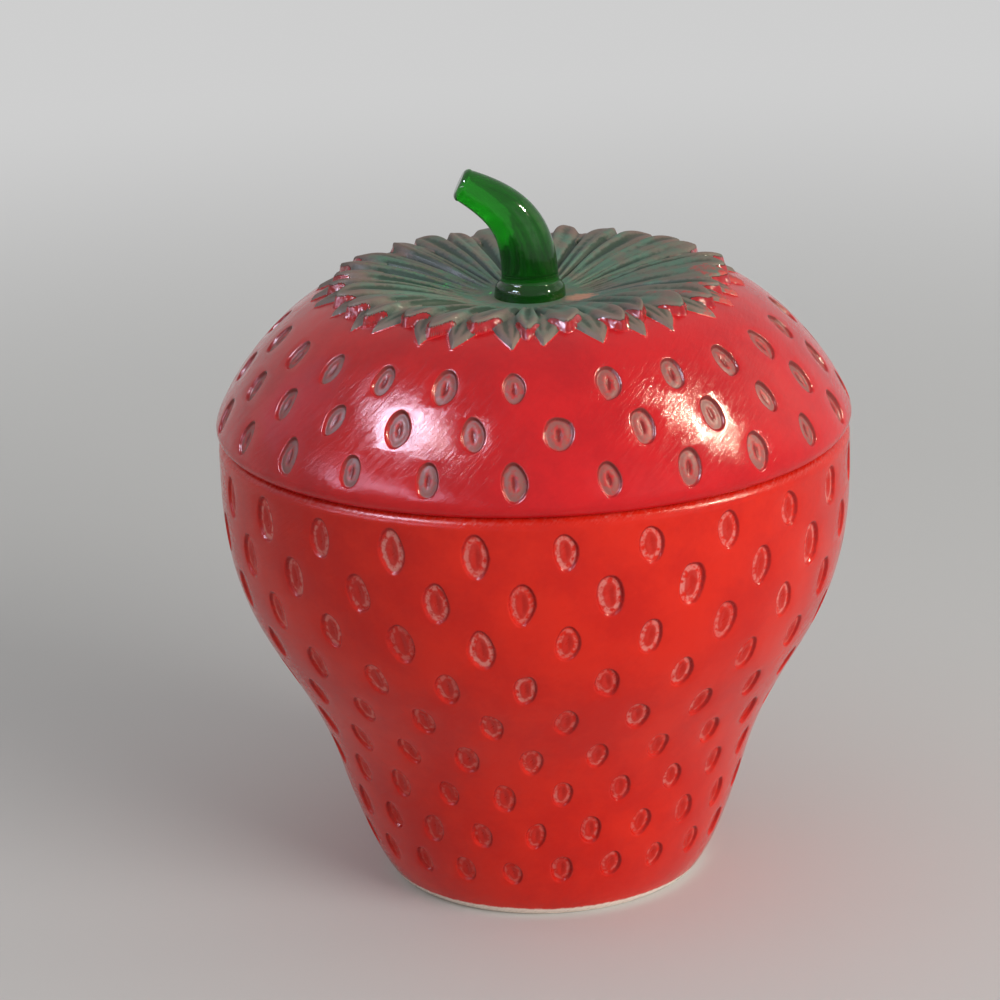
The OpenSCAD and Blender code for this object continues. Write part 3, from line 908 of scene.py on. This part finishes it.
        # Two sheets, over and under the lid's surface, with walls between their open edges
        rise = np.where(on, np.maximum(height, 0.04 * MM), 0.02 * MM)
        sheets = [round_axis(r, turn, z).reshape(-1, 3) for z in (base + rise, base - 0.12 * MM)]
        index = np.arange(r.size).reshape(r.shape)
        next_index, next_on = np.roll(index, -1, 1), np.roll(on, -1, 1)
        kept = on[:-1] | next_on[:-1] | next_on[1:] | on[1:]
        corners = (index[:-1], index[1:], next_index[1:], next_index[:-1])
        quads = np.stack([corner[kept] for corner in corners], 1)
        pairs = np.vstack([quads[:, [i, (i + 1) % 4]] for i in range(4)])
        one_way, other_way = pairs[:, 0] * r.size + pairs[:, 1], pairs[:, 1] * r.size + pairs[:, 0]
        start, end = pairs[~np.isin(one_way, other_way)].T
        walls = np.stack([end, start, start + r.size, end + r.size], 1)
        faces = np.vstack([quads, quads[:, ::-1] + r.size, walls])
        used, renamed = np.unique(faces, return_inverse=True)
        marks = {"groove": groove, "blunt": blunt, "thin": thin, "leafy": leafy}
        marks = {name: np.tile(values.reshape(-1), 2)[used] for name, values in marks.items()}
        faces = renamed.reshape(faces.shape).tolist()
        crown = piece("leaf_crown", np.vstack(sheets)[used], faces, marks, leaf_paint(colours), 70)
        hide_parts("leaves")
        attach(crown, "lid")
        return {"FINISHED"}


class JAMPOT_OT_stem(bpy.types.Operator):
    """Make the bent stem of green glass with its foot"""
    bl_idname = "jampot.stem"
    bl_label = "Stem"

    def execute(self, context):
        stem, colours = groups(context, "stem", "colours")
        foot_z = STEM_BOX[0].z
        handles = [np.array([x * stem.reach, foot_z + z * stem.rise]) for x, z in STEM_HANDLES]

        def at(t):
            """Place on the stem's middle line"""
            weights = ((1 - t) ** 3, 3 * t * (1 - t) ** 2, 3 * t**2 * (1 - t), t**3)
            return sum(w * h for w, h in zip(weights, handles))

        def lean(t):
            """Angle by which the middle line leans over, level at the foot"""
            step = at(min(t + 0.01, 1)) - at(max(t - 0.01, 0))
            return math.atan2(-step[0], step[1]) * float(smooth(t, 0, 0.1))

        def radius(t):
            """Half the stem's thickness, with its spread foot"""
            thin = (stem.width + (stem.tip - stem.width) * t**2.1) / 2
            foot = np.interp((at(t)[1] - foot_z) / stem.foot_height, FOOT_HEIGHTS, FOOT_WIDTHS)
            return thin + (stem.foot / 2 - thin) * float(foot)

        sides = 64
        ways = np.concatenate([np.linspace(0, 0.2, 26), np.linspace(0.2, 1, 60)[1:]])
        # Each ring's middle, lean and radius, and how far it lies past the middle
        rings = [(at(t), lean(t), radius(t), 0) for t in ways]
        end, tilt, bevel = at(1), lean(1), stem.end_rounding
        rings += [
            (end, tilt, stem.tip / 2 - bevel * (1 - math.cos(a)), bevel * math.sin(a))
            for a in np.radians(np.linspace(10, 90, 8))
        ]
        rings += [(end, tilt, (stem.tip / 2 - bevel) * share, bevel) for share in (0.6, 0.25)]
        turns = np.linspace(0, 2 * math.pi, sides, endpoint=False)
        points = []
        for middle, tilt, r, ahead in rings:
            side = r * np.cos(turns)
            x = middle[0] + side * math.cos(tilt) - ahead * math.sin(tilt)
            z = middle[1] + side * math.sin(tilt) + ahead * math.cos(tilt)
            points.append(np.stack([x, r * np.sin(turns), z], 1))
        points = np.vstack(points)
        last = (len(rings) - 1) * sides
        around = [(j, (j + 1) % sides) for j in range(sides)]
        faces = [
            (low + i, low + j, low + sides + j, low + sides + i)
            for low in range(0, last, sides) for i, j in around
        ]
        faces += [tuple(range(sides))[::-1], tuple(range(last, last + sides))]
        rod = piece("glass_stem", points, faces, {}, green_glass(colours), 60)
        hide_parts("stem")
        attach(rod, "lid")
        return {"FINISHED"}


class JAMPOT_OT_stage(bpy.types.Operator):
    """Set the floor, the pale surroundings, the lamps and the camera"""
    bl_idname = "jampot.stage"
    bl_label = "Stage"

    def execute(self, context):
        mesh = bpy.data.meshes.new("studio_floor")
        shape = bmesh.new()
        bmesh.ops.create_circle(shape, cap_ends=True, segments=64, radius=3)
        shape.to_mesh(mesh)
        shape.free()
        mesh.materials.append(studio_floor(context.scene.jampot_colours))
        ground = bpy.data.objects.new("studio_floor", mesh)
        context.scene.collection.objects.link(ground)

        world = bpy.data.worlds.new("studio_surroundings")
        surroundings = Nodes(world)
        level = LIGHTING_LEVEL + surroundings.seen() * (SEEN_LEVEL - LIGHTING_LEVEL)
        background = surroundings.tree.nodes["Background"]
        background.inputs["Color"].default_value = (1, 1, 1, 1)
        surroundings.tree.links.new(level.socket, background.inputs["Strength"])
        context.scene.world = world

        # Six lamps are seen only in the gloss of the pot, and the last one only lights it
        lamp("cool_lamp", (-0.588, -0.275, 0.76), 0.6, (0.18, 0.12), 3.8, (0.76, 0.78, 1.0))
        lamp("low_lamp", (-0.78, -0.5, 0.37), 0.7, (0.55, 0.09), 1.7, (0.84, 0.72, 1.0))
        lamp("orange_lamp", (-0.483, -0.435, 0.76), 0.6, (0.05, 0.07), 0.25, (1.0, 0.72, 0.5))
        lamp("violet_lamp", (-0.82, 0.35, 0.45), 0.8, (0.35, 0.35), 0.14, (0.6, 0.55, 1.0))
        lamp("warm_lamp", (0.73, -0.18, 0.655), 0.6, (0.045, 0.045), 4.0, (1.0, 0.88, 0.66))
        lamp("wide_warm_lamp", (0.85, 0.3, 0.43), 0.8, (0.4, 0.4), 0.25, (1.0, 0.85, 0.68))
        lamp("key_lamp", (0.7, -0.64, 0.32), 1.3, (0.8, 0.8), 14.0, (1.0, 0.98, 0.95), lights=True)

        metres_a_pixel = CAMERA_DISTANCE / FOCAL_PIXELS
        across = (AIM_PIXEL[0] - FRAME_PIXELS / 2) * metres_a_pixel
        rise = (FRAME_PIXELS / 2 - AIM_PIXEL[1]) * metres_a_pixel
        sideways = Vector((1, 0, 0))
        ahead = Vector((0, math.cos(CAMERA_DOWN), -math.sin(CAMERA_DOWN)))
        straight_up = Vector((0, math.sin(CAMERA_DOWN), math.cos(CAMERA_DOWN)))
        right = math.cos(CAMERA_ROLL) * sideways - math.sin(CAMERA_ROLL) * straight_up
        upward = math.sin(CAMERA_ROLL) * sideways + math.cos(CAMERA_ROLL) * straight_up
        place = Vector((0, 0, AIM_HEIGHT)) - CAMERA_DISTANCE * ahead - across * right - rise * upward
        data = bpy.data.cameras.new("photo_camera")
        data.sensor_width, data.lens = SENSOR, FOCAL_PIXELS * SENSOR / FRAME_PIXELS
        data.clip_start, data.clip_end = 0.01, 20
        camera = bpy.data.objects.new("photo_camera", data)
        facing = Matrix((right, upward, -ahead)).transposed().to_4x4()
        camera.matrix_world = Matrix.Translation(place) @ facing
        context.scene.collection.objects.link(camera)
        context.scene.camera = camera
        context.scene.view_settings.view_transform = "Standard"
        return {"FINISHED"}


def lamp(name, direction, distance, size, power, tint, lights=False):
    """A soft rectangular lamp that faces the pot, and either lights it or only shows in its gloss"""
    data = bpy.data.lights.new(name, "AREA")
    data.shape = "RECTANGLE"
    data.size, data.size_y = size
    data.energy, data.color = power, tint
    light = bpy.data.objects.new(name, data)
    aim = Vector(LAMP_AIM)
    light.location = aim + Vector(direction).normalized() * distance
    light.rotation_euler = (aim - light.location).to_track_quat("-Z", "Y").to_euler()
    light.visible_diffuse = lights
    light.visible_glossy = not lights
    bpy.context.scene.collection.objects.link(light)


class JAMPOT_PT_panel(bpy.types.Panel):
    """The jam pot's pieces, in the order in which they are made"""
    bl_idname = "JAMPOT_PT_panel"
    bl_label = "Jam pot"
    bl_space_type = "VIEW_3D"
    bl_region_type = "UI"
    bl_category = "Jam pot"

    def draw(self, context):
        for operator in OPERATORS:
            self.layout.operator(operator.bl_idname)


GROUPS = {
    "jampot_pot": PotSizes,
    "jampot_lid": LidSizes,
    "jampot_seeds": SeedSizes,
    "jampot_leaves": LeafSizes,
    "jampot_stem": StemSizes,
    "jampot_colours": Colours,
}
OPERATORS = (JAMPOT_OT_pot, JAMPOT_OT_lid, JAMPOT_OT_leaves, JAMPOT_OT_stem, JAMPOT_OT_stage)


def register():
    for name, group in GROUPS.items():
        bpy.utils.register_class(group)
        setattr(bpy.types.Scene, name, PointerProperty(type=group))
    for cls in (*OPERATORS, JAMPOT_PT_panel):
        bpy.utils.register_class(cls)


def unregister():
    for cls in (JAMPOT_PT_panel, *reversed(OPERATORS)):
        bpy.utils.unregister_class(cls)
    for name, group in reversed(GROUPS.items()):
        delattr(bpy.types.Scene, name)
        bpy.utils.unregister_class(group)


def main():
    """Makes the whole scene"""
    register()
    bpy.ops.jampot.pot()
    bpy.ops.jampot.lid()
    bpy.ops.jampot.leaves()
    bpy.ops.jampot.stem()
    bpy.ops.jampot.stage()


if __name__ == "__main__":
    main()
